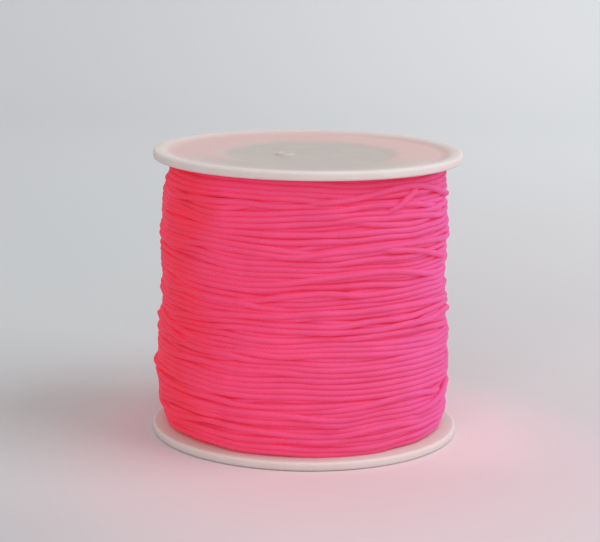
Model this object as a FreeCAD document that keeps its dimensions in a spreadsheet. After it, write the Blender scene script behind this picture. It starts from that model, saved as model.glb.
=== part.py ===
"""A flanged plastic spool wound full of thick braided line.

Two alike flanges plug into a hollow barrel. The line fills the space between them: its inner
layers are one plain pack, and its outermost layer lies on that pack as one unbroken length.
The spool stands on its lower rim. Millimetres, +Z up, origin on the axis at the lower rim.
"""

import FreeCAD, Part

import math
import os

import Sketcher
from FreeCAD import Placement, Rotation, Vector

doc = FreeCAD.newDocument("line_spool")

# The driving dimensions, each written once, in millimetres.
SIZES = {
    # the whole spool
    "flange_radius": 26.0,
    "spool_height": 48.5,
    # a flange: a thin plate with a raised bead round its outer side and a sunk middle
    "plate_thickness": 0.9,
    "rim_rise": 0.6,
    "rim_width": 2.2,
    "rim_round": 0.5,
    "edge_round": 0.3,
    "recess_depth": 0.35,
    "recess_margin": 0.4,
    # the collar on a flange's inner side, which plugs into the barrel and snaps home
    "collar_length": 5.0,
    "collar_wall": 1.3,
    "collar_clearance": 0.05,
    "collar_lead_in": 0.4,
    "ridge_height": 0.25,
    "ridge_width": 1.2,
    "ridge_setback": 2.6,
    # the stub that the mould's gate leaves on a flange's sunk middle
    "gate_across": -3.8,
    "gate_back": 0.7,
    "gate_radius": 1.3,
    "gate_setback": 0.25,
    "crater_radius": 0.6,
    "crater_depth": 0.3,
    # the barrel
    "barrel_radius": 15.0,
    "barrel_wall": 1.2,
    "groove_clearance": 0.1,
    "line_hole_clearance": 0.25,
    "line_hole_rise": 3.0,
    # the wound line: how far its fullest turns stay inside the flanges, and how it swells
    "line_diameter": 1.0,
    "belly_inset": 1.0,
    "foot_fall": 1.8,
    "waist_fall": 1.0,
    "shoulder_fall": 0.6,
    "top_fall": 1.7,
    "belly_rise": 9.0,
    "shoulder_drop": 10.0,
    "turn_gap": 0.88,
    "lay_clearance": 0.05,
    "tuck_bend": 1.5,
    # the knot on the line's inner end
    "knot_radius": 1.3,
    # where round the spool the outer layer's end is tucked in, in degrees from the right
    "tuck_angle": -50.0,
}

sheet = doc.addObject("Spreadsheet::Sheet", "Sizes")
for row, (alias, value) in enumerate(SIZES.items(), start=1):
    sheet.set(f"A{row}", alias)
    sheet.set(f"B{row}", str(value))
    sheet.setAlias(f"B{row}", alias)
doc.recompute()


def size(alias):
    """A driving dimension, read from the sheet."""
    return float(getattr(sheet, alias))


# Lengths that several pieces share, as expressions on the sheet.
FACE = "(Sizes.rim_rise + Sizes.plate_thickness)"
SUNK = "(Sizes.rim_rise + Sizes.recess_depth)"
BARREL_BORE = "(Sizes.barrel_radius - Sizes.barrel_wall)"
COLLAR_OUT = f"({BARREL_BORE} - Sizes.collar_clearance)"
COLLAR_IN = f"({COLLAR_OUT} - Sizes.collar_wall)"
LINE_HOLE_UP = f"({FACE} + Sizes.collar_length + Sizes.line_hole_rise)"

# The same lengths as numbers, for the wound line.
face = size("rim_rise") + size("plate_thickness")
wound_height = size("spool_height") - 2 * face
line_radius = size("line_diameter") / 2


def body_of(name):
    """An empty body, labelled as its node is."""
    body = doc.addObject("PartDesign::Body", name)
    body.Label = name
    return body


def sketch_on(body, name, role, lift=None):
    """An empty sketch on one of the body's own planes, lifted off it by an expression."""
    sketch = body.newObject("Sketcher::SketchObject", f"{body.Name}_{name}")
    plane = next(f for f in body.Origin.OriginFeatures if f.Role == role)
    sketch.AttachmentSupport = (plane, "")
    sketch.MapMode = "FlatFace"
    if lift:
        sketch.setExpression("AttachmentOffset.Base.z", lift)
    return sketch


def place_point(sketch, geometry, where, across, up):
    """Ties a point of a sketch to its distances across and up from the body's origin."""
    for kind, axis_line, length in (("DistanceX", -2, across), ("DistanceY", -1, up)):
        if length == "0":
            sketch.addConstraint(Sketcher.Constraint("PointOnObject", geometry, where, axis_line))
            continue
        tie = Sketcher.Constraint(kind, -1, 1, geometry, where, 1.0)
        name = f"{kind}_{geometry}"
        sketch.renameConstraint(sketch.addConstraint(tie), name)
        sketch.setExpression(f"Constraints.{name}", length)


def draw_outline(sketch, corners):
    """A closed outline of straight sides. Each corner is a pair of expressions, across and up."""
    count = len(corners)
    rough = [Vector(math.cos(2 * math.pi * i / count), math.sin(2 * math.pi * i / count), 0)
             for i in range(count)]
    for i in range(count):
        sketch.addGeometry(Part.LineSegment(rough[i], rough[(i + 1) % count]))
    for i in range(count):
        sketch.addConstraint(Sketcher.Constraint("Coincident", i, 2, (i + 1) % count, 1))
    for i, (across, up) in enumerate(corners):
        place_point(sketch, i, 1, across, up)


def draw_circle(sketch, across, up, radius):
    """A circle whose centre and radius are expressions."""
    sketch.addGeometry(Part.Circle(Vector(0, 0, 0), Vector(0, 0, 1), 1.0))
    place_point(sketch, 0, 3, across, up)
    round_tie = sketch.addConstraint(Sketcher.Constraint("Radius", 0, 1.0))
    sketch.renameConstraint(round_tie, "Round")
    sketch.setExpression("Constraints.Round", radius)


def turn(body, name, corners):
    """Turns an outline of radius and height about the body's upright axis."""
    sketch = sketch_on(body, f"{name}_outline", "XZ_Plane")
    draw_outline(sketch, corners)
    turned = body.newObject("PartDesign::Revolution", f"{body.Name}_{name}")
    turned.Profile = sketch
    turned.ReferenceAxis = (sketch, ["V_Axis"])
    turned.Angle = 360.0
    return turned


def round_edges(body, name, base, spots, radius):
    """Rounds the circular edges that lie at the given radii and heights."""
    doc.recompute()
    found = []
    for i, edge in enumerate(base.Shape.Edges, start=1):
        if not isinstance(edge.Curve, Part.Circle):
            continue
        here = (edge.Curve.Radius, edge.Curve.Center.z)
        if any(math.dist(here, spot) < 1e-4 for spot in spots):
            found.append(f"Edge{i}")
    rounded = body.newObject("PartDesign::Fillet", f"{body.Name}_{name}")
    rounded.Base = (base, found)
    rounded.setExpression("Radius", radius)
    return rounded


def build_flange(name):
    """A flange, lying on its rim with its collar up."""
    body = body_of(name)
    recess = "(Sizes.barrel_radius - Sizes.recess_margin)"
    rim_inside = "(Sizes.flange_radius - Sizes.rim_width)"
    ridge = f"({FACE} + Sizes.ridge_setback)"
    tip = f"({FACE} + Sizes.collar_length)"
    plate = turn(body, "plate", [
        ("0", SUNK),
        (f"{recess} - Sizes.recess_depth", SUNK),
        (recess, "Sizes.rim_rise"),
        (rim_inside, "Sizes.rim_rise"),
        (rim_inside, "0"),
        ("Sizes.flange_radius", "0"),
        ("Sizes.flange_radius", FACE),
        (COLLAR_OUT, FACE),
        (COLLAR_OUT, f"{ridge} - Sizes.ridge_width / 2"),
        (f"{COLLAR_OUT} + Sizes.ridge_height", ridge),
        (COLLAR_OUT, f"{ridge} + Sizes.ridge_width / 2"),
        (COLLAR_OUT, f"{tip} - Sizes.collar_lead_in"),
        (f"{COLLAR_OUT} - Sizes.collar_lead_in", tip),
        (COLLAR_IN, tip),
        (COLLAR_IN, f"{SUNK} + Sizes.plate_thickness"),
        ("0", f"{SUNK} + Sizes.plate_thickness"),
    ])

    bead = [(size("flange_radius"), 0), (size("flange_radius") - size("rim_width"), 0)]
    bead_round = "min(Sizes.rim_round; 0.8 * Sizes.rim_rise; 0.4 * Sizes.rim_width)"
    crown = round_edges(body, "bead", plate, bead, bead_round)
    inner_edge = [(size("flange_radius"), face)]
    edge_round = "min(Sizes.edge_round; 0.4 * Sizes.plate_thickness)"
    round_edges(body, "inner_edge", crown, inner_edge, edge_round)

    # The gate's stub stands on the sunk middle and ends short of the rim, with a torn crater.
    centre = ("Sizes.gate_across", "Sizes.gate_back")
    stub_outline = sketch_on(body, "stub_outline", "XY_Plane", SUNK)
    draw_circle(stub_outline, *centre, "Sizes.gate_radius")
    stub = body.newObject("PartDesign::Pad", f"{name}_stub")
    stub.Profile = stub_outline
    stub.Reversed = True
    stub.setExpression("Length", f"{SUNK} - Sizes.gate_setback")

    doc.recompute()
    full = stub.Shape.Volume
    crater_outline = sketch_on(body, "crater_outline", "XY_Plane", "Sizes.gate_setback")
    draw_circle(crater_outline, *centre, "Sizes.crater_radius")
    crater = body.newObject("PartDesign::Pocket", f"{name}_crater")
    crater.Profile = crater_outline
    crater.Reversed = True
    crater.setExpression("Length", "Sizes.crater_depth")
    doc.recompute()
    assert crater.Shape.Volume < full, "the crater cuts nothing"
    return body


def build_barrel():
    """The tube between the flanges, with a groove for each collar's ridge and a hole for the line."""
    body = body_of("barrel")
    groove_out = f"{BARREL_BORE} + Sizes.ridge_height"
    groove_half = "(Sizes.ridge_width / 2 + Sizes.groove_clearance)"
    low = f"({FACE} + Sizes.ridge_setback)"
    high = f"(Sizes.spool_height - {low})"
    top = f"(Sizes.spool_height - {FACE})"
    tube = turn(body, "tube", [
        ("Sizes.barrel_radius", FACE),
        ("Sizes.barrel_radius", top),
        (BARREL_BORE, top),
        (BARREL_BORE, f"{high} + {groove_half}"),
        (groove_out, high),
        (BARREL_BORE, f"{high} - {groove_half}"),
        (BARREL_BORE, f"{low} + {groove_half}"),
        (groove_out, low),
        (BARREL_BORE, f"{low} - {groove_half}"),
        (BARREL_BORE, FACE),
    ])

    doc.recompute()
    whole = tube.Shape.Volume
    hole_outline = sketch_on(body, "hole_outline", "YZ_Plane")
    draw_circle(hole_outline, "0", LINE_HOLE_UP, "Sizes.line_diameter / 2 + Sizes.line_hole_clearance")
    hole = body.newObject("PartDesign::Pocket", "barrel_line_hole")
    hole.Profile = hole_outline
    hole.Reversed = True
    hole.setExpression("Length", "Sizes.barrel_radius + Sizes.barrel_wall")
    doc.recompute()
    assert hole.Shape.Volume < whole, "the line's hole cuts nothing"
    return body


def build_line_start():
    """The line's inner end: through the barrel's wall and knotted inside."""
    run = doc.addObject("Part::Cylinder", "line_start_run")
    run.setExpression("Radius", "Sizes.line_diameter / 2")
    seat = "sqrt(Sizes.barrel_radius ^ 2 - (Sizes.line_diameter / 2) ^ 2)"
    knot_centre = f"({BARREL_BORE} - Sizes.knot_radius)"
    run.setExpression("Height", f"{seat} - {knot_centre}")
    run.Placement = Placement(Vector(), Rotation(Vector(0, 1, 0), 90))
    run.setExpression("Placement.Base.x", knot_centre)

    knot = doc.addObject("Part::Sphere", "line_start_knot")
    knot.setExpression("Radius", "Sizes.knot_radius")
    knot.setExpression("Placement.Base.x", knot_centre)

    start = doc.addObject("Part::Fuse", "line_start_end")
    start.Base = run
    start.Tool = knot
    start.setExpression("Placement.Base.z", LINE_HOLE_UP)
    return start


def wound_radius(height):
    """How far out the line reaches at a height above the lower flange's inner face."""
    belly = size("flange_radius") - size("belly_inset")
    low = size("belly_rise")
    high = wound_height - size("shoulder_drop")
    waist = (low + high) / 2
    if height < low:
        return belly - size("foot_fall") * (1 - math.sin(math.pi / 2 * height / low))
    if height < waist:
        share = (1 - math.cos(math.pi * (height - low) / (waist - low))) / 2
        return belly - size("waist_fall") * share
    if height < high:
        share = (1 - math.cos(math.pi * (height - waist) / (high - waist))) / 2
        return belly + (size("waist_fall") - size("shoulder_fall")) * share - size("waist_fall")
    rest = (height - high) / size("shoulder_drop")
    edge_share = 1 - math.cos(math.pi / 2 * rest)
    return belly - size("shoulder_fall") - (size("top_fall") - size("shoulder_fall")) * edge_share


# The outer layer's turns, counted in half turns from the lower flange up to the upper one.
first_height = line_radius + size("lay_clearance")
climb = wound_height - 2 * first_height
half_turns = int(2 * climb / (size("line_diameter") + size("turn_gap")))
last_angle = math.radians(size("tuck_angle"))
first_angle = last_angle - half_turns * math.pi
tuck_depth = size("tuck_bend") + size("line_diameter")


def outward(angle):
    return Vector(math.cos(angle), math.sin(angle), 0)


def around(angle):
    return Vector(-math.sin(angle), math.cos(angle), 0)


def tuck_slot(angle, height, side):
    """The slot in the pack where the outer layer's line comes up, or goes down, at one end."""
    gap = size("lay_clearance")
    centre_radius = wound_radius(height) - line_radius
    floor = centre_radius - tuck_depth
    breadth = size("tuck_bend") + line_radius + gap
    slot = Part.makeBox(
        size("flange_radius") - floor, breadth, 2 * (line_radius + 2 * gap),
        Vector(floor, 0 if side > 0 else -breadth, height - line_radius - 2 * gap))
    slot.Placement = Placement(Vector(), Rotation(Vector(0, 0, 1), math.degrees(angle)))
    return slot


def build_inner_layers():
    """The line's inner layers as one pack: crowned outside, with a slot at each end for the line."""
    steps = 24
    drop = size("line_diameter") + size("lay_clearance")
    heights = [wound_height * i / steps for i in range(steps + 1)]
    crown = Part.BSplineCurve()
    crown.interpolate([Vector(wound_radius(up) - drop, 0, up) for up in heights])
    low_out = crown.StartPoint
    high_out = crown.EndPoint
    low_in = Vector(size("barrel_radius"), 0, 0)
    high_in = Vector(size("barrel_radius"), 0, wound_height)
    sides = [Part.makeLine(low_in, low_out), crown.toShape(), Part.makeLine(high_out, high_in),
             Part.makeLine(high_in, low_in)]
    ring = Part.Face(Part.Wire(sides)).revolve(Vector(), Vector(0, 0, 1), 360)
    slots = [tuck_slot(first_angle, first_height, -1),
             tuck_slot(last_angle, wound_height - first_height, 1)]
    pack = doc.addObject("Part::Feature", "line_inner_layers")
    pack.Shape = ring.cut(slots)
    pack.Placement = Placement(Vector(0, 0, face), Rotation())
    return pack


def arc_from(start, heading, end):
    """The arc that leaves start along heading and arrives at end."""
    chord = end - start
    along = chord / chord.Length
    side = heading - along * heading.dot(along)
    side.normalize()
    half_turn_angle = math.acos(heading.dot(along)) / 2
    middle = (start + end) / 2 + side * (chord.Length / 2 * math.tan(half_turn_angle))
    return Part.Arc(start, middle, end)


def biarc(start, heading, end, arrival):
    """Two arcs that join two points, tangent to each other and to both headings."""
    chord = end - start
    both = heading + arrival
    spread = 2 * (1 - heading.dot(arrival))
    reach = (math.sqrt(chord.dot(both) ** 2 + spread * chord.dot(chord)) - chord.dot(both)) / spread
    joint = (start + end + (heading - arrival) * reach) / 2
    crossing = end - start - both * reach
    crossing.normalize()
    return [arc_from(start, heading, joint), arc_from(joint, crossing, end)]


def layer_path():
    """The outer layer's centre line: up out of its slot, round and round, and down into the other."""
    bend = size("tuck_bend")
    straight = size("line_diameter")
    rise = climb / half_turns
    stations = []
    for i in range(half_turns + 1):
        angle = first_angle + i * math.pi
        height = first_height + rise * i
        radius = wound_radius(height) - line_radius
        heading = around(angle) * (radius * math.pi)
        if 0 < i < half_turns:
            swell = wound_radius(height + rise / 2) - wound_radius(height - rise / 2)
            heading += outward(angle) * swell + Vector(0, 0, rise)
        heading.normalize()
        stations.append((outward(angle) * radius + Vector(0, 0, height), heading))

    corner = math.sqrt(0.5)
    path = []
    for (here, heading), angle, side in ((stations[0], first_angle, -1), (stations[-1], last_angle, 1)):
        out = outward(angle)
        centre = here - out * bend
        middle = centre + (out + heading * side) * (bend * corner)
        foot = centre + heading * (side * bend)
        tip = foot - out * straight
        tuck = [Part.Arc(here, middle, foot), Part.LineSegment(foot, tip)]
        if side < 0:
            tuck = [Part.LineSegment(tip, foot), Part.Arc(foot, middle, here)]
        path.append(tuck)
    loops = []
    for (start, heading), (end, arrival) in zip(stations, stations[1:]):
        loops += biarc(start, heading, end, arrival)
    return path[0] + loops + path[1]


def least_gap(path):
    """The least gap between the line's turns, measured on points a quarter of a diameter apart."""
    step = size("line_diameter") / 4
    points = []
    for piece in path:
        points += piece.toShape().discretize(Distance=step)[:-1]
    own_turn = int(4 * size("line_diameter") / step)
    one_turn = int(2 * math.pi * size("flange_radius") / step)
    least = math.inf
    for i, here in enumerate(points):
        for there in points[i + own_turn:i + one_turn + own_turn]:
            least = min(least, here.distanceToPoint(there))
    return least - size("line_diameter")


def build_outer_layer():
    """The outermost layer: one unbroken length of line, swept round the pack."""
    path = layer_path()
    wire = Part.Wire([piece.toShape() for piece in path])
    tip = path[0].StartPoint
    section = Part.Wire(Part.makeCircle(line_radius, tip, outward(first_angle)))
    tube = Part.BRepOffsetAPI.MakePipeShell(wire)
    tube.add(section)
    tube.build()
    tube.makeSolid()
    layer = doc.addObject("Part::Feature", "line_outer_layer")
    layer.Shape = tube.shape()
    layer.Placement = Placement(Vector(0, 0, face), Rotation())
    expected = math.pi * line_radius ** 2 * wire.Length
    print(f"outer layer: {half_turns / 2} turns, {wire.Length:.0f} mm of line,"
          f" volume {layer.Shape.Volume / expected:.4f} of its section times its length,"
          f" least gap to itself {least_gap(path):.2f} mm")
    return layer


bottom_flange = build_flange("bottom_flange")
top_flange = build_flange("top_flange")
top_flange.Placement = Placement(Vector(), Rotation(Vector(1, 0, 0), 180))
top_flange.setExpression("Placement.Base.z", "Sizes.spool_height")
pieces = [bottom_flange, top_flange, build_barrel(), build_line_start(),
          build_inner_layers(), build_outer_layer()]
doc.recompute()

for thing in doc.Objects:
    assert "Invalid" not in thing.State and "Error" not in thing.State, thing.Name
for piece in pieces:
    assert not piece.Shape.isNull() and piece.Shape.isValid(), piece.Label
    assert len(piece.Shape.Solids) == 1, piece.Label

os.makedirs("parts", exist_ok=True)
for piece in pieces:
    piece.Shape.exportStep(f"parts/{piece.Label}.step")
    box = piece.Shape.optimalBoundingBox(False)
    print(f"{piece.Label}: {box.XLength:.2f} x {box.YLength:.2f} x {box.ZLength:.2f} mm,"
          f" from z {box.ZMin:.2f}, volume {piece.Shape.Volume:.1f} mm3")
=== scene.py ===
import math

import bpy
import numpy as np
from mathutils import Matrix, Vector


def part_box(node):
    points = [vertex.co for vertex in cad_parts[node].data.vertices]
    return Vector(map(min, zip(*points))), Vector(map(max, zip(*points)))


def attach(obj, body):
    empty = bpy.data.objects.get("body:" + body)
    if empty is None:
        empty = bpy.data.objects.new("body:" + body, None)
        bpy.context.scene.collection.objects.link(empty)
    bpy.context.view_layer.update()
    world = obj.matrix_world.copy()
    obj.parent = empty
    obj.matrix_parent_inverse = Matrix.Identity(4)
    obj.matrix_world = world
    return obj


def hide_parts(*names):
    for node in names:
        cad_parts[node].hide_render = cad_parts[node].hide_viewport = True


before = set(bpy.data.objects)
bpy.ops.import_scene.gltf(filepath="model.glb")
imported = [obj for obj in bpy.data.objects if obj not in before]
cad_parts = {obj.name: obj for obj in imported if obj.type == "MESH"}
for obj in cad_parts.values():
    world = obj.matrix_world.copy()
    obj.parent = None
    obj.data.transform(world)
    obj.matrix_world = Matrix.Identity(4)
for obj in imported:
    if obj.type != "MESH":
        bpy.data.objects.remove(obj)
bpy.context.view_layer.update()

# The barrel.
# A hollow tube of translucent white polypropylene, moulded in one shot. Both flanges snap into
# its ends. Nothing of it shows once the line is wound on.
mm = 0.001
barrel_low, barrel_high = (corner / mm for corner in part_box("barrel"))
barrel_radius = barrel_high.x
lower_face = barrel_low.z
upper_face = barrel_high.z


def wire_up(tree, source, target):
    """Links one socket of a material to another."""
    tree.links.new(source, target)


def add_node(tree, kind, **settings):
    """A shader node. A setting named after a socket is its value, and any other is an option."""
    node = tree.nodes.new(kind)
    for name, value in settings.items():
        if hasattr(node, name):
            setattr(node, name, value)
        else:
            node.inputs[name.replace("_", " ")].default_value = value
    return node


def new_finish(name):
    """A material with its one Principled shader."""
    finish = bpy.data.materials.new(name)
    finish.use_nodes = True
    return finish, finish.node_tree, finish.node_tree.nodes["Principled BSDF"]


def arithmetic(tree, operation, first, second=None, third=None):
    """A sum in nodes. Each value is a socket or a number."""
    node = tree.nodes.new("ShaderNodeMath")
    node.operation = operation
    for slot_number, value in enumerate((first, second, third)):
        if value is None:
            continue
        if isinstance(value, (int, float)):
            node.inputs[slot_number].default_value = value
        else:
            wire_up(tree, value, node.inputs[slot_number])
    return node.outputs[0]


def fade(tree, value, low, high):
    """0 below low and 1 above high, with a smooth way between."""
    node = tree.nodes.new("ShaderNodeMapRange")
    node.interpolation_type = "SMOOTHSTEP"
    wire_up(tree, value, node.inputs["Value"])
    node.inputs["From Min"].default_value = low
    node.inputs["From Max"].default_value = high
    return node.outputs["Result"]


def blend_colours(tree, share, first, second):
    """A mix of two colours. Each is a socket or a linear colour."""
    node = tree.nodes.new("ShaderNodeMix")
    node.data_type = "RGBA"
    wire_up(tree, share, node.inputs["Factor"])
    for name, colour in (("A", first), ("B", second)):
        socket = next(s for s in node.inputs if s.name == name and s.type == "RGBA")
        if isinstance(colour, tuple):
            socket.default_value = (*colour, 1)
        else:
            wire_up(tree, colour, socket)
    return next(s for s in node.outputs if s.type == "RGBA")


def linear(red, green, blue):
    """A colour read as 0 to 255 from the photograph, as the shaders want it."""
    shares = (red / 255, green / 255, blue / 255)
    return tuple(share / 12.92 if share <= 0.04045 else ((share + 0.055) / 1.055) ** 2.4
                 for share in shares)


def object_place(tree):
    """Where a point of the piece lies: the node, and the point's X, Y and Z."""
    place = add_node(tree, "ShaderNodeTexCoord")
    parts = add_node(tree, "ShaderNodeSeparateXYZ")
    wire_up(tree, place.outputs["Object"], parts.inputs[0])
    return place, parts.outputs["X"], parts.outputs["Y"], parts.outputs["Z"]


def patches(tree, place, **settings):
    """A soft irregular pattern over the piece, from 0 to 1."""
    noise = add_node(tree, "ShaderNodeTexNoise", **settings)
    wire_up(tree, place.outputs["Object"], noise.inputs["Vector"])
    return noise.outputs["Fac"]


def distance_across(tree, right, back):
    """How far a point lies from an upright axis."""
    right_squared = arithmetic(tree, "POWER", right, 2.0)
    back_squared = arithmetic(tree, "POWER", back, 2.0)
    return arithmetic(tree, "SQRT", arithmetic(tree, "ADD", right_squared, back_squared))


def give_relief(tree, shader, relief, strength, depth):
    """A fine relief on the finish, with its depth in millimetres."""
    bump = add_node(tree, "ShaderNodeBump", Strength=strength, Distance=depth * mm)
    wire_up(tree, relief, bump.inputs["Height"])
    wire_up(tree, bump.outputs["Normal"], shader.inputs["Normal"])


def moulded_plastic():
    """Translucent white plastic, with a painted pink glow where the line lies behind, for the line's
    light that comes through.
    """
    finish, tree, shader = new_finish("translucent_white_plastic")
    place, right, back, up = object_place(tree)
    radius = distance_across(tree, right, back)

    # The line lies behind a flange from the barrel to near the rim. The pink glow through the plastic
    # is painted there, strongest towards the back and faint in front.
    past_barrel = fade(tree, radius, 12.6 * mm, 16.4 * mm)
    before_rim = fade(tree, radius, 24.6 * mm, 23.0 * mm)
    behind = arithmetic(tree, "MULTIPLY", past_barrel, before_rim)
    least_glow_in_front = 0.05
    glow_towards_back = fade(tree, back, -15.0 * mm, -2.0 * mm)
    glow_towards_back = arithmetic(tree, "MULTIPLY_ADD", glow_towards_back, 1 - least_glow_in_front, least_glow_in_front)
    behind = arithmetic(tree, "MULTIPLY", behind, glow_towards_back)

    # The lower flange takes a little painted pink glow all over, from the line that stands on it.
    pink_low_down = 0.15
    low_down = fade(tree, up, 6.0 * mm, 2.0 * mm)
    low_down = arithmetic(tree, "MULTIPLY", low_down, pink_low_down)
    behind = arithmetic(tree, "MAXIMUM", behind, low_down)

    least_glow = 0.65
    glow_range = 0.6
    cloud = patches(tree, place, Scale=260.0, Detail=3.0)
    patchy = arithmetic(tree, "MULTIPLY_ADD", cloud, glow_range, least_glow)
    glow = arithmetic(tree, "MULTIPLY", behind, patchy)
    # Painted light and shade: the thin face is painted darker, for light lost through it into the
    # hollow, and the thick bead lighter, for light scattered in it.
    shaded_thin_white = blend_colours(tree, cloud, linear(183, 174, 168), linear(193, 184, 178))
    lit_thick_white = blend_colours(tree, cloud, linear(205, 197, 194), linear(216, 208, 205))
    thinning = fade(tree, radius, 24.4 * mm, 18.0 * mm)
    bare = blend_colours(tree, thinning, lit_thick_white, shaded_thin_white)
    # The painted pink glow: the line's light through the plastic.
    pink_through = linear(211, 181, 178)
    wire_up(tree, blend_colours(tree, glow, bare, pink_through), shader.inputs["Base Color"])

    shader.inputs["Subsurface Weight"].default_value = 0.6
    shader.inputs["Subsurface Radius"].default_value = (1.0, 0.8, 0.75)
    shader.inputs["Subsurface Scale"].default_value = 2.0 * mm
    shader.inputs["IOR"].default_value = 1.49
    shader.inputs["Specular IOR Level"].default_value = 0.2

    least_rough = 0.55
    grain_share = 0.25
    grain = patches(tree, place, Scale=900.0, Detail=4.0)
    rough = arithmetic(tree, "MULTIPLY_ADD", grain, grain_share, least_rough)
    wire_up(tree, rough, shader.inputs["Roughness"])
    flow = patches(tree, place, Scale=120.0, Detail=5.0, Distortion=0.6)
    relief = arithmetic(tree, "MULTIPLY_ADD", grain, grain_share, flow)
    give_relief(tree, shader, relief, 0.25, 0.06)
    return finish


white_plastic = moulded_plastic()
for material_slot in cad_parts["barrel"].material_slots:
    material_slot.material = white_plastic

# The two flanges.
# Thin round mouldings of the same plastic, alike, with a rounded bead round the outer side, a sunk
# middle and the small stub left by the mould's gate. Each snaps into one end of the barrel.
spool_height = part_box("top_flange")[1].z / mm
flange_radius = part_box("top_flange")[1].x / mm
flange_thickness = lower_face
middle_sunk = 0.92
ring_sunk = 0.60
collar_outside = 13.75
collar_inside = 12.45
collar_tip = flange_thickness + 5
flange_profile = [
    # Distance from the axis, depth below the rim, and the rounding of that corner.
    (0.0, middle_sunk, 0),
    (13.6, middle_sunk, 1.2),
    (15.2, ring_sunk, 1.2),
    (22.9, ring_sunk, 0.9),
    (24.3, 0.0, 0.9),
    (flange_radius, 0.0, 0.6),
    (flange_radius, flange_thickness, 0.5),
    (collar_outside, flange_thickness, 0.2),
    (collar_outside, collar_tip, 0.35),
    (collar_inside, collar_tip, 0.3),
    (collar_inside, flange_thickness, 0.3),
    (0.0, flange_thickness, 0),
]
gate_across = -3.8
gate_back = 0.7
gate_rise = 0.45
gate_top_reach = 1.3
gate_foot_reach = 1.8
crater_depth = 0.42
crater_floor_reach = 0.75
crater_brim_reach = 1.2
sag_depth = 0.12
sag_reach = 14


def rounded_outline(corners, spacing):
    """A line through corners, each rounded, with a point at least each spacing."""
    longest_cut = 0.48
    points_in_corner = 7
    line = [np.array(corners[0][:2])]
    for before, corner, after in zip(corners, corners[1:], corners[2:]):
        here = np.array(corner[:2])
        back = np.array(before[:2]) - here
        on = np.array(after[:2]) - here
        cut = min(corner[2], longest_cut * np.linalg.norm(back), longest_cut * np.linalg.norm(on))
        start = here + back / np.linalg.norm(back) * cut
        end = here + on / np.linalg.norm(on) * cut
        for t in np.linspace(0, 1, points_in_corner):
            line.append((1 - t) ** 2 * start + 2 * t * (1 - t) * here + t ** 2 * end)
    line.append(np.array(corners[-1][:2]))
    even = [line[0]]
    for a, b in zip(line, line[1:]):
        pieces = max(1, math.ceil(np.linalg.norm(b - a) / spacing))
        even += [a + (b - a) * k / pieces for k in range(1, pieces + 1)]
    return np.array(even)


def step_down(value, near, far):
    """1 below near and 0 beyond far, with a smooth way between."""
    t = np.clip((value - near) / (far - near), 0, 1)
    return 1 - t * t * (3 - 2 * t)


def new_piece(name, points, faces, finish):
    """A smooth mesh piece from points in millimetres."""
    mesh = bpy.data.meshes.new(name)
    mesh.from_pydata((np.asarray(points) * mm).tolist(), [], [list(face) for face in faces])
    mesh.materials.append(finish)
    mesh.polygons.foreach_set("use_smooth", [True] * len(mesh.polygons))
    piece = bpy.data.objects.new(name, mesh)
    bpy.context.scene.collection.objects.link(piece)
    return piece


def flange_moulding(name, node, outer_plane, inward, finish):
    """One flange, turned round the axis. Its outer side sags a little and has the gate's stub."""
    outline_spacing = 0.3
    segments = 256
    outline = rounded_outline(flange_profile, outline_spacing)
    turn = np.arange(segments) * 2 * math.pi / segments
    ring = outline[1:-1]
    across = ring[:, 0, None] * np.cos(turn)
    back = ring[:, 0, None] * np.sin(turn)
    depth = np.broadcast_to(ring[:, 1, None], across.shape).copy()
    inner_skin = 0.3
    outer_side = depth < flange_thickness - inner_skin
    from_gate = np.hypot(across - gate_across, back - gate_back * inward)
    stub = gate_rise * step_down(from_gate, gate_top_reach, gate_foot_reach)
    stub -= crater_depth * step_down(from_gate, crater_floor_reach, crater_brim_reach)
    depth -= np.where(outer_side, stub, 0)
    sag = sag_depth * np.cos(np.clip(ring[:, 0] / sag_reach, 0, 1) * math.pi / 2)[:, None]
    depth += np.where(outer_side, sag, 0)
    points = np.stack([across, back, outer_plane + inward * depth], axis=-1).reshape(-1, 3)
    middle_outer = (0, 0, outer_plane + inward * (outline[0][1] + sag_depth))
    middle_inner = (0, 0, outer_plane + inward * outline[-1][1])
    points = np.concatenate([points, [middle_outer, middle_inner]])
    rings = len(ring)
    faces = []
    for k in range(rings - 1):
        for j in range(segments):
            after = (j + 1) % segments
            faces.append((k * segments + j, (k + 1) * segments + j,
                          (k + 1) * segments + after, k * segments + after))
    last_ring = (rings - 1) * segments
    for j in range(segments):
        after = (j + 1) % segments
        faces.append((len(points) - 2, j, after))
        faces.append((len(points) - 1, last_ring + after, last_ring + j))
    if inward > 0:
        faces = [face[::-1] for face in faces]
    piece = new_piece(name, points, faces, finish)
    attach(piece, "root")
    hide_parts(node)


flange_moulding("lower_flange_moulding", "bottom_flange", 0, 1, white_plastic)
flange_moulding("upper_flange_moulding", "top_flange", spool_height, -1, white_plastic)

# The line's inner end.
# The line is one length of bright pink round braid. It starts inside the barrel: it goes through a
# hole in the wall and is knotted there, with a plain overhand knot drawn tight against the bore.
knot_low, knot_high = (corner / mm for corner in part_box("line_start_end"))
knot_up = (knot_low.z + knot_high.z) / 2
knot_out = knot_high.x
knot_size = (knot_high.z - knot_low.z) / 2
knot_half = 0.33
knot_steps = 48
knot_breadth = 1.6
exit_length = 3.2

# Where round and along the barrel the winding swells: height, then its reach at the left and right.
swells = np.array([
    (1.5, 23.3, 23.2),
    (4.5, 24.6, 24.2),
    (10.5, 25.45, 24.55),
    (16.0, 25.15, 24.3),
    (21.5, 24.6, 24.0),
    (27.5, 24.5, 23.5),
    (35.5, 24.8, 23.9),
    (41.0, 24.4, 23.6),
    (45.5, 23.2, 23.1),
    (47.0, 22.5, 22.5),
])


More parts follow.
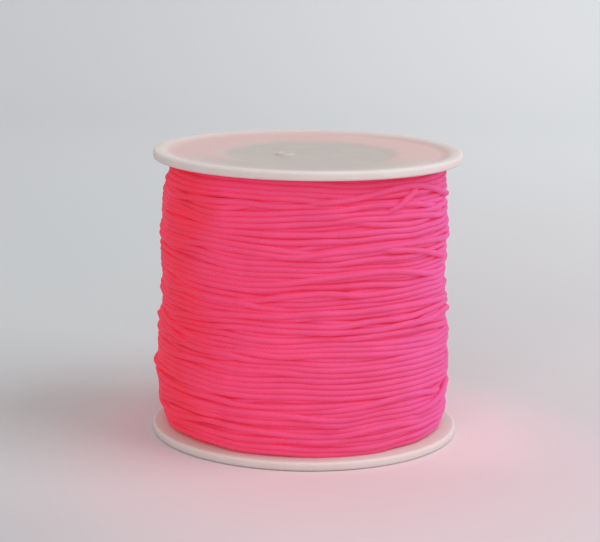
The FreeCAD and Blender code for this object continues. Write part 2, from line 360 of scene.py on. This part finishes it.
def reach_of_winding(height, angle):
    """How far out the finished winding reaches, at a height and at an angle from the right."""
    leftness = (1 - np.cos(angle)) / 2
    left = np.interp(height, swells[:, 0], swells[:, 1])
    right = np.interp(height, swells[:, 0], swells[:, 2])
    return right + (left - right) * leftness


def tube(name, path, half, finish, sides=10, steps_in_strip=160):
    """A tube along a path. It carries the distance along and the place around, for its braid, and how
    deep it lies in the winding, for the painted shade in its gaps."""
    path = np.asarray(path)
    ahead = np.gradient(path, axis=0)
    ahead /= np.linalg.norm(ahead, axis=1, keepdims=True)
    nearly_upright = 0.9
    up = np.zeros_like(path)
    up[:, 2] = 1
    up[np.abs(ahead[:, 2]) > nearly_upright] = (1, 0, 0)
    side = np.cross(ahead, up)
    side /= np.linalg.norm(side, axis=1, keepdims=True)
    up = np.cross(side, ahead)
    turn = np.arange(sides) * 2 * math.pi / sides
    ring = half * (np.cos(turn)[None, :, None] * side[:, None, :]
                   + np.sin(turn)[None, :, None] * up[:, None, :])
    points = (path[:, None, :] + ring).reshape(-1, 3)
    count = len(path)
    i, j = np.meshgrid(np.arange(count - 1), np.arange(sides), indexing="ij")
    after = (j + 1) % sides
    faces = np.stack([i * sides + j, (i + 1) * sides + j, (i + 1) * sides + after, i * sides + after],
                     axis=-1).reshape(-1, 4)[:, ::-1]
    ends = [tuple(range(sides)), tuple(range(len(points) - 1, len(points) - sides - 1, -1))]
    piece = new_piece(name, points, faces.tolist() + ends, finish)
    mesh = piece.data
    reach = reach_of_winding(points[:, 2], np.arctan2(points[:, 1], points[:, 0]))
    depth = mesh.attributes.new("depth_mm", "FLOAT", "POINT")
    depth.data.foreach_set("value", (reach - np.hypot(points[:, 0], points[:, 1])).astype(np.float32))

    # The first map holds millimetres along and the share of the way around.
    corner_i = np.stack([i, i + 1, i + 1, i], axis=-1).reshape(-1, 4)[:, ::-1]
    corner_j = np.stack([j, j, j + 1, j + 1], axis=-1).reshape(-1, 4)[:, ::-1]
    distance = np.concatenate([[0], np.cumsum(np.linalg.norm(np.diff(path, axis=0), axis=1))])
    wound_off = np.stack([distance[corner_i], corner_j / sides], axis=-1).reshape(-1, 2)
    lay = mesh.uv_layers.new(name="Lay")
    lay.data.foreach_set("uv", np.concatenate([wound_off, np.zeros((2 * sides, 2))]).ravel())

    # The second lays the tube out flat in strips, one above another, with its ends at the sides.
    strips = math.ceil((count - 1) / steps_in_strip)
    strip = (i // steps_in_strip).reshape(-1, 1)
    begun = (corner_i - strip * steps_in_strip) / steps_in_strip
    margin_beside = 0.01
    margin_above = 0.06
    level = (strip + margin_above + corner_j / sides * (1 - 2 * margin_above)) / strips
    spread = np.stack([margin_beside + begun * (1 - 2 * margin_beside), level], axis=-1).reshape(-1, 2)
    end_size = 0.002
    end_disc = np.stack([np.cos(turn), np.sin(turn)], axis=-1) * end_size
    first_end = end_disc + (0.004, 0.3)
    last_end = end_disc + (0.996, 0.3)
    baked = mesh.uv_layers.new(name="OFBake")
    baked.data.foreach_set("uv", np.concatenate([spread, first_end, last_end]).ravel())
    return piece


def braided_line():
    """Bright pink braid: crossing yarns, a soft sheen, and a fluorescent dye that glows red."""
    finish, tree, shader = new_finish("pink_braid")
    place, right, _, _ = object_place(tree)
    lay = add_node(tree, "ShaderNodeUVMap", uv_map="Lay")
    lay_parts = add_node(tree, "ShaderNodeSeparateXYZ")
    wire_up(tree, lay.outputs["UV"], lay_parts.inputs[0])
    yarns_round = 4.0
    stitches_per_mm = 1.3
    around = arithmetic(tree, "MULTIPLY", lay_parts.outputs["Y"], yarns_round)
    along = arithmetic(tree, "MULTIPLY", lay_parts.outputs["X"], stitches_per_mm)
    leaning = []
    for sense in (1.0, -1.0):
        phase = arithmetic(tree, "MULTIPLY_ADD", along, sense, around)
        wave = arithmetic(tree, "SINE", arithmetic(tree, "MULTIPLY", phase, math.pi))
        leaning.append(arithmetic(tree, "ABSOLUTE", wave))
    yarn = arithmetic(tree, "MAXIMUM", leaning[0], leaning[1])
    valley = arithmetic(tree, "SUBTRACT", 1.0, yarn)

    # The dye's pink from left to right, with painted light in it: redder on the shaded left, more
    # magenta on the lit right. Each row: where across the spool in millimetres, and the colour there.
    dye_and_light_shades = (
        (-21, (186, 58, 67)),
        (-12, (190, 77, 116)),
        (-2, (186, 81, 122)),
        (10, (175, 79, 122)),
        (16, (174, 82, 128)),
        (23, (172, 89, 149)),
    )
    shades_half = 26
    shades_width = 2 * shades_half
    drift_reach = 12
    drift = patches(tree, place, Scale=110.0, Detail=1.0)
    across = arithmetic(tree, "MULTIPLY_ADD", drift, drift_reach * mm, right)
    left_to_right = add_node(tree, "ShaderNodeValToRGB")
    stops = left_to_right.color_ramp.elements
    while len(stops) < len(dye_and_light_shades):
        stops.new(0.5)
    for stop, (where, shade) in zip(stops, dye_and_light_shades):
        stop.position = (where + shades_half) / shades_width
        stop.color = (*linear(*shade), 1)
    share = arithmetic(tree, "MULTIPLY_ADD", across, 1 / (shades_width * mm),
                       (shades_half - drift_reach / 2) / shades_width)
    wire_up(tree, share, left_to_right.inputs["Fac"])

    # Along the line the dye is a little stronger and weaker. Between the yarns the colour is darker:
    # painted shade.
    weakest_dye = 0.85
    dye_range = 0.3
    valley_share = 0.35
    dye = patches(tree, place, Scale=180.0, Detail=3.0)
    strength = arithmetic(tree, "MULTIPLY_ADD", dye, dye_range, weakest_dye)
    dyed_and_lit = add_node(tree, "ShaderNodeHueSaturation")
    wire_up(tree, left_to_right.outputs["Color"], dyed_and_lit.inputs["Color"])
    wire_up(tree, strength, dyed_and_lit.inputs["Value"])
    shade_between_yarns = arithmetic(tree, "MULTIPLY", valley, valley_share)
    colour = blend_colours(tree, shade_between_yarns, dyed_and_lit.outputs["Color"], linear(160, 48, 76))

    # Painted shade: the gaps between the turns are darkened, most at the shaded left.
    gap_share = 0.72
    sunk = add_node(tree, "ShaderNodeAttribute", attribute_name="depth_mm")
    gap = fade(tree, sunk.outputs["Fac"], 0.25, 0.95)
    on_left = arithmetic(tree, "MULTIPLY", fade(tree, across, 8 * mm, -18 * mm), gap_share)
    painted_gap_shade = arithmetic(tree, "MULTIPLY", gap, on_left)
    colour = blend_colours(tree, painted_gap_shade, colour, linear(96, 14, 24))
    wire_up(tree, colour, shader.inputs["Base Color"])

    # A painted glow: a steady red emission, standing in for the dye's fluorescence and the light
    # between the turns.
    shader.inputs["Emission Color"].default_value = (1.0, 0.02, 0.045, 1)
    shader.inputs["Emission Strength"].default_value = 0.38
    shader.inputs["Subsurface Weight"].default_value = 0.4
    shader.inputs["Subsurface Radius"].default_value = (1.0, 0.7, 0.8)
    shader.inputs["Subsurface Scale"].default_value = 0.5 * mm
    shader.inputs["Roughness"].default_value = 0.7
    shader.inputs["Sheen Weight"].default_value = 0.1
    shader.inputs["Sheen Roughness"].default_value = 0.4
    shader.inputs["Sheen Tint"].default_value = (0.7, 0.4, 1.0, 1)
    shader.inputs["Specular Tint"].default_value = (0.45, 0.25, 1.0, 1)
    shader.inputs["IOR"].default_value = 1.65
    shader.inputs["Specular IOR Level"].default_value = 0.5
    fuzz_share = 0.3
    fuzz = patches(tree, place, Scale=4000.0, Detail=2.0)
    relief = arithmetic(tree, "MULTIPLY_ADD", fuzz, fuzz_share, yarn)
    give_relief(tree, shader, relief, 0.3, 0.03)
    return finish


pink_braid = braided_line()
knot_turn = np.arange(knot_steps) * 2 * math.pi / knot_steps
knot_room = (knot_size - knot_half) / 3
knot_path = np.stack([
    knot_low.x + knot_size + knot_room * knot_breadth * -np.sin(3 * knot_turn),
    knot_room * (np.sin(knot_turn) + 2 * np.sin(2 * knot_turn)),
    knot_up + knot_room * (np.cos(knot_turn) - 2 * np.cos(2 * knot_turn)),
], axis=-1)
exit_run = np.array([(knot_out - exit_length * share, 0, knot_up) for share in (1, 0.5, 0)])
knot = tube("line_inner_end", np.concatenate([knot_path, exit_run]), knot_half, pink_braid)
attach(knot, "root")
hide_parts("line_start_end")

# The winding.
# The 1 mm line is led to and fro along the barrel by hand, in many layers. Each turn slides into
# the lowest place near its guide, where it settles to 0.9 mm, and tension keeps it from sagging.
settled_thickness = 0.9
line_half = settled_thickness / 2
turn_pitch = 0.92
nesting = 0.8
squeeze = 0.05
laid_layers = 4
buried_layers = 1.7
wound_low = lower_face + line_half
wound_high = upper_face - line_half

# The hand's sway in millimetres: in each of four waves round a turn, then whatever the angle, and
# how many turns a sway takes to change.
wave_sways = (0.34, 0.36, 0.3, 0.24)
wave_change = 3.3
free_sways = ((0.3, 1.7), (0.17, 0.31), (0.05, 0.1))
calm_near_flange = 3

# The pack's surface is a table of reaches, with a column each step round and a row each 0.1 mm up.
turn_steps = 240
turn_step = 2 * math.pi / turn_steps
row_height = 0.1
rows = np.arange(lower_face, upper_face + row_height / 2, row_height)
columns = np.arange(turn_steps) * turn_step
half_rows = int(round(line_half / row_height))
across_line = np.arange(-half_rows, half_rows + 1)
caps = np.sqrt(np.maximum(line_half ** 2 - (across_line * row_height) ** 2, 0))

# The line is laid half a turn at a time, with a quarter turn more to see where it leads. The places
# where it may rest are the rows in a window round its guide.
laid_at_once = turn_steps // 2
looked_ahead = turn_steps // 4
looked_back = 8
window = 18
places = 2 * window + 1


def wander(draw, count, spacing):
    """A smooth random drift, one draw each spacing steps."""
    knots = draw.normal(size=int(count // spacing) + 3)
    place = np.arange(count) / spacing
    knot = place.astype(int)
    share = place - knot
    share = share * share * (3 - 2 * share)
    return knots[knot] * (1 - share) + knots[knot + 1] * share


def guide_heights(draw, turned):
    """Where the hand leads the line: to and fro, swaying a little, calm near the flanges."""
    count = len(turned)
    span = wound_high - wound_low
    stroke = np.mod(turned / (2 * math.pi) * turn_pitch / span, 2)
    led = wound_low + span * np.where(stroke < 1, stroke, 2 - stroke)
    sway = np.zeros(count)
    each_part = 0.7
    for wave, reach in enumerate(wave_sways, start=1):
        for part in (np.cos(wave * turned), np.sin(wave * turned)):
            sway += reach * each_part * part * wander(draw, count, turn_steps * wave_change)
    for reach, change in free_sways:
        sway += reach * wander(draw, count, turn_steps * change)
    room = np.minimum(led - wound_low, wound_high - led)
    led += sway * np.clip(room / calm_near_flange, 0, 1)
    return np.clip(led, wound_low, wound_high)


def row_at(up):
    """The row of the table nearest to a height."""
    return np.round((up - lower_face) / row_height).astype(int)


def cover(surface, column, up, out):
    """Raises the pack's surface where the line lies on it."""
    covered = np.clip(row_at(up)[:, None] + across_line, 0, surface.shape[1] - 1)
    across = lower_face + covered * row_height - up[:, None]
    crest = out[:, None] + np.sqrt(np.maximum(line_half ** 2 - across ** 2, 0))
    crest = np.where(np.abs(across) < line_half, crest, 0)
    spots = (np.broadcast_to(column[:, None], covered.shape), covered)
    np.maximum.at(surface, spots, crest)


def pulled_taut(out, turn_between):
    """Tension: between two places the line is at least as far out as the chord that joins them."""
    steps_apart = (1, 2, 4, 8)
    pulls = 3
    stiffness = np.array([1, 2, 3, 2, 1]) / 9
    for reach in steps_apart:
        for _ in range(pulls):
            pair = out[:-2 * reach] * out[2 * reach:] / (out[:-2 * reach] + out[2 * reach:])
            chord = 2 * pair * math.cos(reach * turn_between)
            out[reach:-reach] = np.maximum(out[reach:-reach], chord)
    return np.convolve(np.pad(out, 2, mode="edge"), stiffness, "valid")


def resting_places(surface, column, base):
    """How far out the line would rest in each place near its guide: as it is, walled off by the
    flanges, and in its broad shape only."""
    near = base[:, None] + np.arange(-window - half_rows, window + half_rows + 1)
    ground = surface[column[:, None], np.clip(near, 0, len(rows) - 1)]
    rest = np.max([ground[:, j:j + places] + cap for j, cap in enumerate(caps)], axis=0)
    place = lower_face + (base[:, None] + np.arange(-window, window + 1)) * row_height
    blocked = (place < wound_low - row_height / 2) | (place > wound_high + row_height / 2)
    walled = np.where(blocked, rest.max(axis=1, keepdims=True) + line_half, rest)
    rows_beside = 5
    steps_beside = 8
    broad = np.stack([walled[:, max(0, j - rows_beside):j + rows_beside + 1].mean(axis=1)
                      for j in range(places)], axis=1)
    broad = np.stack([broad[max(0, j - steps_beside):j + steps_beside + 1].mean(axis=0)
                      for j in range(len(base))])
    return rest, walled, broad


def read_at(table, base, where):
    """What a table of places near the guide says at a height, and how steep it is there."""
    within = 0.001
    spot = np.clip((where - lower_face) / row_height - base + window, within, places - 1 - within)
    cell = spot.astype(int)
    low = table[np.arange(len(base)), cell]
    high = table[np.arange(len(base)), cell + 1]
    return low + (high - low) * (spot - cell), (high - low) / row_height


def slid_downhill(lead, base, walled, broad, laid_before):
    """The line slides downhill, first over the broad shape, then into the groove that it meets."""
    joining_steps = 12
    slides = 60
    broad_slides = 36
    broad_pull = 0.25
    groove_pull = 0.06
    held_by_hand = 0.08
    steepest = 1.5
    stiff_steps = 9
    bendings = 2
    stiffness = np.array([1, 4, 6, 4, 1]) / 16
    where = lead.copy()
    if len(laid_before):
        where += (laid_before[-1] - where[0]) * np.exp(-np.arange(len(lead)) / joining_steps)
    for slide in range(slides):
        table, pull = (broad, broad_pull) if slide < broad_slides else (walled, groove_pull)
        slope = np.clip(read_at(table, base, where)[1], -steepest, steepest)
        slope = np.pad(slope, stiff_steps // 2, mode="edge")
        slope = np.convolve(slope, np.ones(stiff_steps) / stiff_steps, "valid")
        where = where - pull * slope + held_by_hand * (lead - where)
        if len(laid_before):
            where[0] = 2 * laid_before[-1] - laid_before[-2]
        for _ in range(bendings):
            before = 2 * where[0] - where[[2, 1]]
            after = 2 * where[-1] - where[[-2, -3]]
            kept = where[0]
            where = np.convolve(np.concatenate([before, where, after]), stiffness, "valid")
            where[0] = kept
        where = np.clip(where, wound_low, wound_high)
    return where


def lay_turns(draw):
    """Lays the line turn by turn on a smooth pack. Returns each step's angle, height and radius, the
    first step that shows, and the pack's surface, under that step and at the end."""
    turns = int(laid_layers * (wound_high - wound_low) / turn_pitch)
    count = turns * turn_steps
    turned = np.arange(count) * turn_step
    guide = guide_heights(draw, turned)
    spare_layers = 0.3
    pack_depth = (laid_layers + spare_layers) * nesting
    surface = reach_of_winding(rows[None, :], columns[:, None]) - pack_depth
    height = np.zeros(count)
    radius = np.zeros(count)
    buried_surface = None
    for start in range(0, count, laid_at_once):
        steps = np.arange(start, min(start + laid_at_once + looked_ahead, count))
        column = steps % turn_steps
        lead = guide[steps]
        base = np.clip(row_at(lead), 0, len(rows) - 1)
        rest, walled, broad = resting_places(surface, column, base)
        where = slid_downhill(lead, base, walled, broad, height[max(0, start - 2):start])
        out = read_at(rest, base, where)[0] - squeeze
        back = looked_back if start else 0
        out = pulled_taut(np.concatenate([radius[start - back:start], out]), turn_step)[back:]

        kept = min(laid_at_once, len(steps))
        height[start:start + kept] = where[:kept]
        radius[start:start + kept] = out[:kept]
        cover(surface, column[:kept], where[:kept], out[:kept])
        if buried_surface is None and start >= count * buried_layers / laid_layers:
            buried_surface = surface.copy()
            first_shown = start + laid_at_once
    return turned, height, radius, first_shown, buried_surface, surface


line_turned, line_up, line_out, first_shown, buried_surface, top_surface = lay_turns(
    np.random.default_rng(5))

# The outline that the turns made is evened out to the reach measured on the real winding. The
# crests count, and beside the flanges the outermost turns do.
calm_rows = 21
calm_columns = 23
flange_reach = 1.0
pressing = 0.8


def calmed(table, axis, width, edges):
    """A table smoothed along one of its axes."""
    def smoothed(line):
        return np.convolve(np.pad(line, width // 2, mode=edges), np.ones(width) / width, "valid")
    return np.apply_along_axis(smoothed, axis, table)


wanted = reach_of_winding(rows[None, :], columns[:, None])
crests = np.stack([top_surface[:, max(0, k - half_rows):k + half_rows + 1].max(axis=1)
                   for k in range(len(rows))], axis=1)
excess = calmed(calmed(crests - wanted, 1, calm_rows, "edge"), 0, calm_columns, "wrap")
beside_flange = np.minimum(rows - lower_face, upper_face - rows) < flange_reach
excess[:, beside_flange] = np.maximum(excess[:, beside_flange], (crests - wanted)[:, beside_flange])


def evened(angle, up, out):
    """A radius, brought in or out with the broad shape of the winding, and its bumps pressed in."""
    column = np.mod(np.round(angle / turn_step).astype(int), turn_steps)
    row = np.clip(row_at(up), 0, len(rows) - 1)
    bump = out - (wanted + excess)[column, row]
    return wanted[column, row] + bump * pressing


# The inner layers.
# The same line, where it lies under others. It shows only as ridges at the bottom of the gaps, so it
# is one ridged pack on the barrel, painted deeper and redder than the turns that show for the shade
# over it, with a painted glow.
pack_sunk = 0.06
pack_spacing = 2


def buried_line():
    """The line's dye in the shade of the turns above."""
    finish, tree, shader = new_finish("buried_pink_line")
    place, _, _, _ = object_place(tree)
    dye = patches(tree, place, Scale=300.0, Detail=3.0)
    colour = blend_colours(tree, dye, linear(164, 30, 56), linear(180, 44, 78))
    wire_up(tree, colour, shader.inputs["Base Color"])
    # A painted glow: a steady red emission.
    shader.inputs["Emission Color"].default_value = (1.0, 0.03, 0.05, 1)
    shader.inputs["Emission Strength"].default_value = 0.26
    shader.inputs["Roughness"].default_value = 0.7
    give_relief(tree, shader, dye, 0.4, 0.05)
    return finish


def round_the_axis(out, angle, up):
    """Points from their reach, angle and height."""
    return np.stack([out * np.cos(angle), out * np.sin(angle), up], axis=-1)


pack_rows = np.arange(0, len(rows), pack_spacing)
pack_columns = np.arange(0, turn_steps, pack_spacing)
pack_out = buried_surface[np.ix_(pack_columns, pack_rows)]
pack_up = np.broadcast_to(rows[pack_rows], pack_out.shape)
pack_angle = np.broadcast_to(columns[pack_columns][:, None], pack_out.shape)
pack_out = evened(pack_angle, pack_up, pack_out) - pack_sunk
pack_outside = round_the_axis(pack_out, pack_angle, pack_up)
pack_bore = round_the_axis(barrel_radius + pack_sunk, pack_angle, pack_up)
shell = np.concatenate([pack_outside, pack_bore[:, ::-1]], axis=1)
round_count, shell_count = shell.shape[:2]
i, j = np.meshgrid(np.arange(round_count), np.arange(shell_count), indexing="ij")
i_after = (i + 1) % round_count
j_after = (j + 1) % shell_count
shell_faces = np.stack([i * shell_count + j, i_after * shell_count + j,
                        i_after * shell_count + j_after, i * shell_count + j_after],
                       axis=-1).reshape(-1, 4)
inner_layers = new_piece("inner_layers", shell.reshape(-1, 3), shell_faces, buried_line())
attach(inner_layers, "root")
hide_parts("line_inner_layers")

# The turns that show.
# The outer layers of the same braid, as two tubes: the turns under the last layer, and the last
# layer. It is soft, so neighbours bulge into one another, and its end sinks in over a short way.
bulge = 1.1
drawn_half = line_half * bulge
mesh_steps_per_turn = 150
mesh_step = 2 * math.pi / mesh_steps_per_turn
tuck = 1.6
tuck_length = 4.2
shown = slice(first_shown, len(line_turned))
shown_out = evened(line_turned[shown], line_up[shown], line_out[shown])
turn_angle = np.arange(line_turned[shown][0], line_turned[shown][-1], mesh_step)
turn_up = np.interp(turn_angle, line_turned[shown], line_up[shown])
turn_out = np.interp(turn_angle, line_turned[shown], shown_out)
turn_out -= tuck * step_down((turn_angle[-1] - turn_angle) * turn_out, 0, tuck_length)
route = round_the_axis(turn_out, turn_angle, turn_up)
middle = len(route) // 2
for name, stretch in (("line_under_layer", route[:middle + 1]), ("line_top_layer", route[middle:])):
    layer = tube(name, stretch, drawn_half, pink_braid)
    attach(layer, "root")
    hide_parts("line_outer_layer")

# The crossing runs.
# Five short runs of the line, where the hand let it cross its own turns. The first is the line's
# outer end, tucked in under the strand laid after it.
crossing_runs = (
    # Each run's places: the angle from the front, to the right, and the height.
    ("line_tucked_end", ((29, 40.0), (37, 41.9), (40, 42.6), (44, 43.6), (49, 44.5), (56, 45.4))),
    ("line_arched_run", ((-4, 42.9), (9, 43.3), (19, 43.7), (28, 44.4), (37, 45.0), (44, 45.2),
                         (51, 45.0), (60, 44.1), (70, 42.9), (79, 42.0), (88, 41.6))),
    ("line_left_crossing", ((-93, 20.5), (-82, 20.6), (-72, 20.4), (-65, 19.8), (-59, 19.1),
                            (-52, 18.2), (-45, 17.8))),
    ("line_right_slope", ((26, 35.3), (40, 35.0), (52, 34.2), (62, 33.1), (70, 32.2), (80, 31.6))),
    ("line_low_crossing", ((42, 7.1), (50, 7.4), (57, 7.9), (62, 8.6), (67, 9.3), (73, 10.0),
                           (81, 10.5), (89, 10.7))),
)
usual_reach = 24.0
pressed_in = 0.2
bend_steps = 9
soft_bend = np.hanning(bend_steps) / np.hanning(bend_steps).sum()
finished = evened(*np.broadcast_arrays(columns[:, None], rows[None, :], top_surface))
for name, marks in crossing_runs:
    marks = np.array(marks)
    mark_angle = np.radians(marks[:, 0] - 90)
    run_angle = np.arange(mark_angle[0], mark_angle[-1], mesh_step)
    run_up = np.interp(run_angle, mark_angle, marks[:, 1])
    run_up = np.pad(run_up, bend_steps // 2, mode="reflect", reflect_type="odd")
    run_up = np.convolve(run_up, soft_bend, "valid")
    run_column = np.mod(np.round(run_angle / turn_step).astype(int), turn_steps)
    under = np.clip(row_at(run_up)[:, None] + across_line, 0, len(rows) - 1)
    run_out = (finished[run_column[:, None], under] + caps).max(axis=1)
    run_out = pulled_taut(run_out, mesh_step) - pressed_in
    gone = np.arange(len(run_out)) * mesh_step * usual_reach
    to_go = gone[-1] - gone
    run_out -= tuck * (step_down(gone, 0, tuck_length) + step_down(to_go, 0, tuck_length))
    cover(finished, run_column, run_up, run_out)
    strand = tube(name, round_the_axis(run_out, run_angle, run_up), drawn_half, pink_braid)
    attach(strand, "root")
    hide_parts("line_outer_layer")

# The floor and the light.
# The spool stands on a plain pale sweep of paper. A broad soft lamp hangs at the right and a smaller
# one in front, in an even room light.
sweep_half = 900.0
sweep_back = 420.0
bend_radius = 260.0
bend_points = 17


def pale_sweep():
    """Pale paper, with a painted shadow at the front left and the spool's painted pink glow in front
    of it.
    """
    finish, tree, shader = new_finish("pale_sweep")
    place, right, back, _ = object_place(tree)
    paper = patches(tree, place, Scale=14.0, Detail=2.0)
    near_tone = blend_colours(tree, paper, linear(207, 205, 207), linear(214, 211, 213))
    # Painted shadow: near the spool the paper is darker to the left, most at the front left.
    to_left = fade(tree, right, 10 * mm, -50 * mm)
    to_front = fade(tree, back, -20 * mm, -60 * mm)
    painted_shadow_tone = blend_colours(tree, to_front, linear(205, 209, 211), linear(194, 195, 198))
    near_tone = blend_colours(tree, to_left, near_tone, painted_shadow_tone)
    # Painted light: the far paper is lighter towards the right, where the lamp is.
    to_right = fade(tree, right, -150 * mm, 150 * mm)
    far_tone = blend_colours(tree, to_right, linear(223, 226, 229), linear(239, 242, 245))
    tone = blend_colours(tree, fade(tree, back, 0.0, sweep_back * mm), near_tone, far_tone)

    # The painted pink glow from the line is widest in front, and a little to the right.
    glow_right = arithmetic(tree, "SUBTRACT", right, 8 * mm)
    glow_front = arithmetic(tree, "ADD", back, 30 * mm)
    glowing = fade(tree, distance_across(tree, glow_right, glow_front), 66 * mm, 12 * mm)
    tone = blend_colours(tree, glowing, tone, linear(222, 201, 207))

    # Beside the base the paper is painted lighter, for the light that comes through the lower flange,
    # and less so on the shaded left.
    through_flange = 0.55
    close_by = fade(tree, distance_across(tree, right, back), 52 * mm, 28 * mm)
    at_sides = fade(tree, back, -34 * mm, -12 * mm)
    beside_base = arithmetic(tree, "MULTIPLY", arithmetic(tree, "MULTIPLY", close_by, at_sides),
                             through_flange)
    base_tone = blend_colours(tree, to_left, linear(240, 218, 223), linear(218, 209, 217))
    tone = blend_colours(tree, beside_base, tone, base_tone)
    wire_up(tree, tone, shader.inputs["Base Color"])
    shader.inputs["Roughness"].default_value = 0.8
    shader.inputs["Specular IOR Level"].default_value = 0.2
    return finish


bend = [(sweep_back + bend_radius * math.sin(a), bend_radius * (1 - math.cos(a)))
        for a in np.linspace(0, math.pi / 2, bend_points)]
sweep_line = [(-sweep_half, 0.0), (0.0, 0.0)] + bend + [(sweep_back + bend_radius, sweep_half)]
sweep_points = [(side * sweep_half, back, up) for back, up in sweep_line for side in (-1, 1)]
sweep_faces = [(2 * k, 2 * k + 1, 2 * k + 3, 2 * k + 2) for k in range(len(sweep_line) - 1)]
sweep = new_piece("sweep", sweep_points, sweep_faces, pale_sweep())


def soft_lamp(name, place, aim, breadth, power, colour):
    """A square soft lamp at a place in millimetres, aimed at a point."""
    lamp = bpy.data.lights.new(name, "AREA")
    lamp.size = breadth * mm
    lamp.energy = power
    lamp.color = colour
    holder = bpy.data.objects.new(name, lamp)
    holder.location = Vector(place) * mm
    holder.rotation_euler = (Vector(aim) - Vector(place)).to_track_quat("-Z", "Y").to_euler()
    bpy.context.scene.collection.objects.link(holder)


spool_middle = (0, 0, 24)
soft_lamp("key_lamp", (520, -135, 480), spool_middle, 600, 3.1, (0.95, 0.97, 1.02))
soft_lamp("front_lamp", (-110, -620, 300), spool_middle, 420, 1.4, (1.0, 0.98, 0.96))
room = bpy.data.worlds.new("room")
room.use_nodes = True
bpy.context.scene.world = room
room_light = room.node_tree.nodes["Background"]
room_light.inputs["Color"].default_value = (1.0, 0.97, 0.94, 1)
room_light.inputs["Strength"].default_value = 0.54

# The camera.
# It stands where the photograph was taken from: a long way off, a little above, and rolled slightly.
camera_distance = 331.6
camera_lift = math.radians(11.56)
camera_roll = math.radians(0.87)
aim_height = 27.5
focal_pixels = 1947.5
spool_right_of_centre = 6.2
photo_width = 600
camera_data = bpy.data.cameras.new("camera")
camera_data.sensor_width = 36
camera_data.lens = focal_pixels * camera_data.sensor_width / photo_width
camera_data.clip_start = 0.01
camera = bpy.data.objects.new("camera", camera_data)
bpy.context.scene.collection.objects.link(camera)
camera_place = Vector((0, -camera_distance * math.cos(camera_lift),
                       aim_height + camera_distance * math.sin(camera_lift)))
looking = (Vector((0, 0, aim_height)) - camera_place).to_track_quat("-Z", "Y").to_matrix().to_4x4()
turned_left = Matrix.Rotation(math.atan(spool_right_of_centre / focal_pixels), 4, "Y")
rolled = Matrix.Rotation(camera_roll, 4, "Z")
camera.matrix_world = Matrix.Translation(camera_place * mm) @ looking @ turned_left @ rolled
bpy.context.scene.camera = camera
bpy.context.scene.view_settings.view_transform = "Standard"
